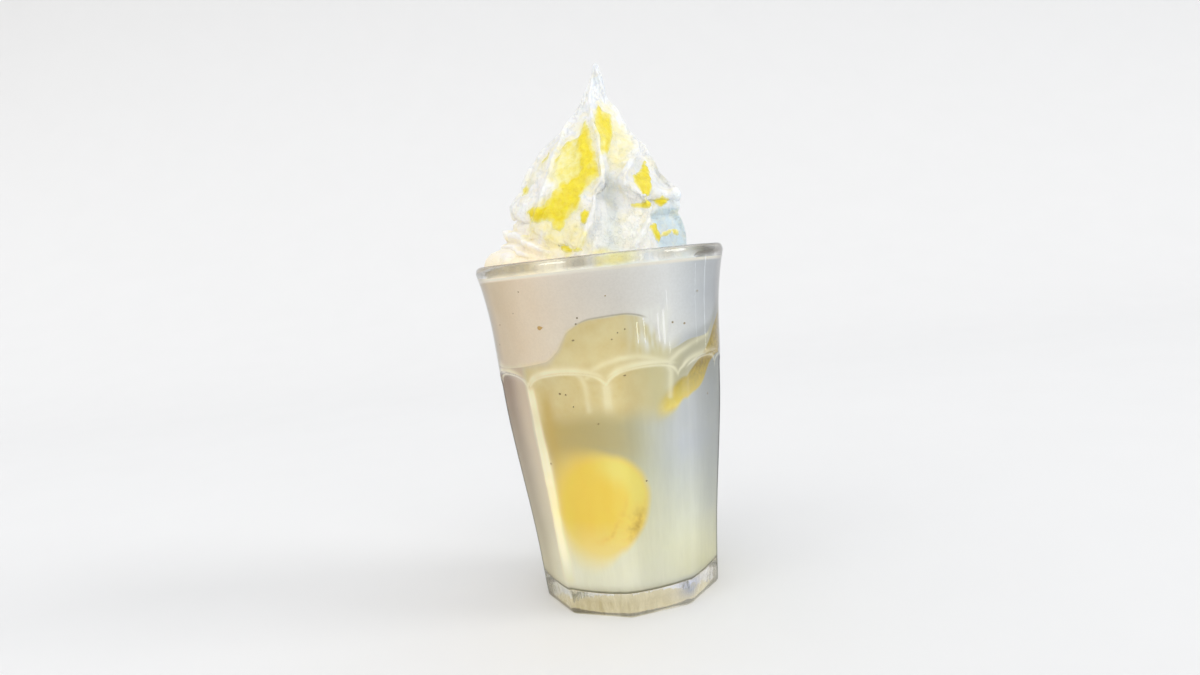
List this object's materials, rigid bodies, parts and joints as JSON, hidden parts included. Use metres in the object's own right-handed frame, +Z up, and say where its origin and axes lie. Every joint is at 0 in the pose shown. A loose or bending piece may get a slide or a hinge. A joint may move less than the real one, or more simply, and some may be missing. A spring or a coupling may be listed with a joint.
{
  "type": "lemon milkshake in a faceted glass",
  "caption": "Pale lemon milkshake in a flat-sided tumbler, with a slice of lemon in it and a tall peak of piped cream streaked with lemon sauce.",
  "frame": {"origin": "middle of the underside of the glass, which is the bottom centre of the whole part's box", "axes": "+Z up along the axis of the glass to the peak of the cream; the front, with the lemon showing, faces -Y"},
  "size_m": [0.088, 0.088, 0.188],
  "materials": {
    "clear_glass": "clear and glossy",
    "lemon_milk": "cloudy wet liquid",
    "lemon": "wet lemon rind and flesh",
    "whipped_cream": "soft satin cream",
    "lemon_sauce": "thick glossy sauce"
  },
  "bodies": {
    "root": {"glass": "clear_glass", "lemon_milk": "lemon_milk", "lemon_slice": "lemon", "whipped_cream": "whipped_cream"}
  },
  "joints": []
}
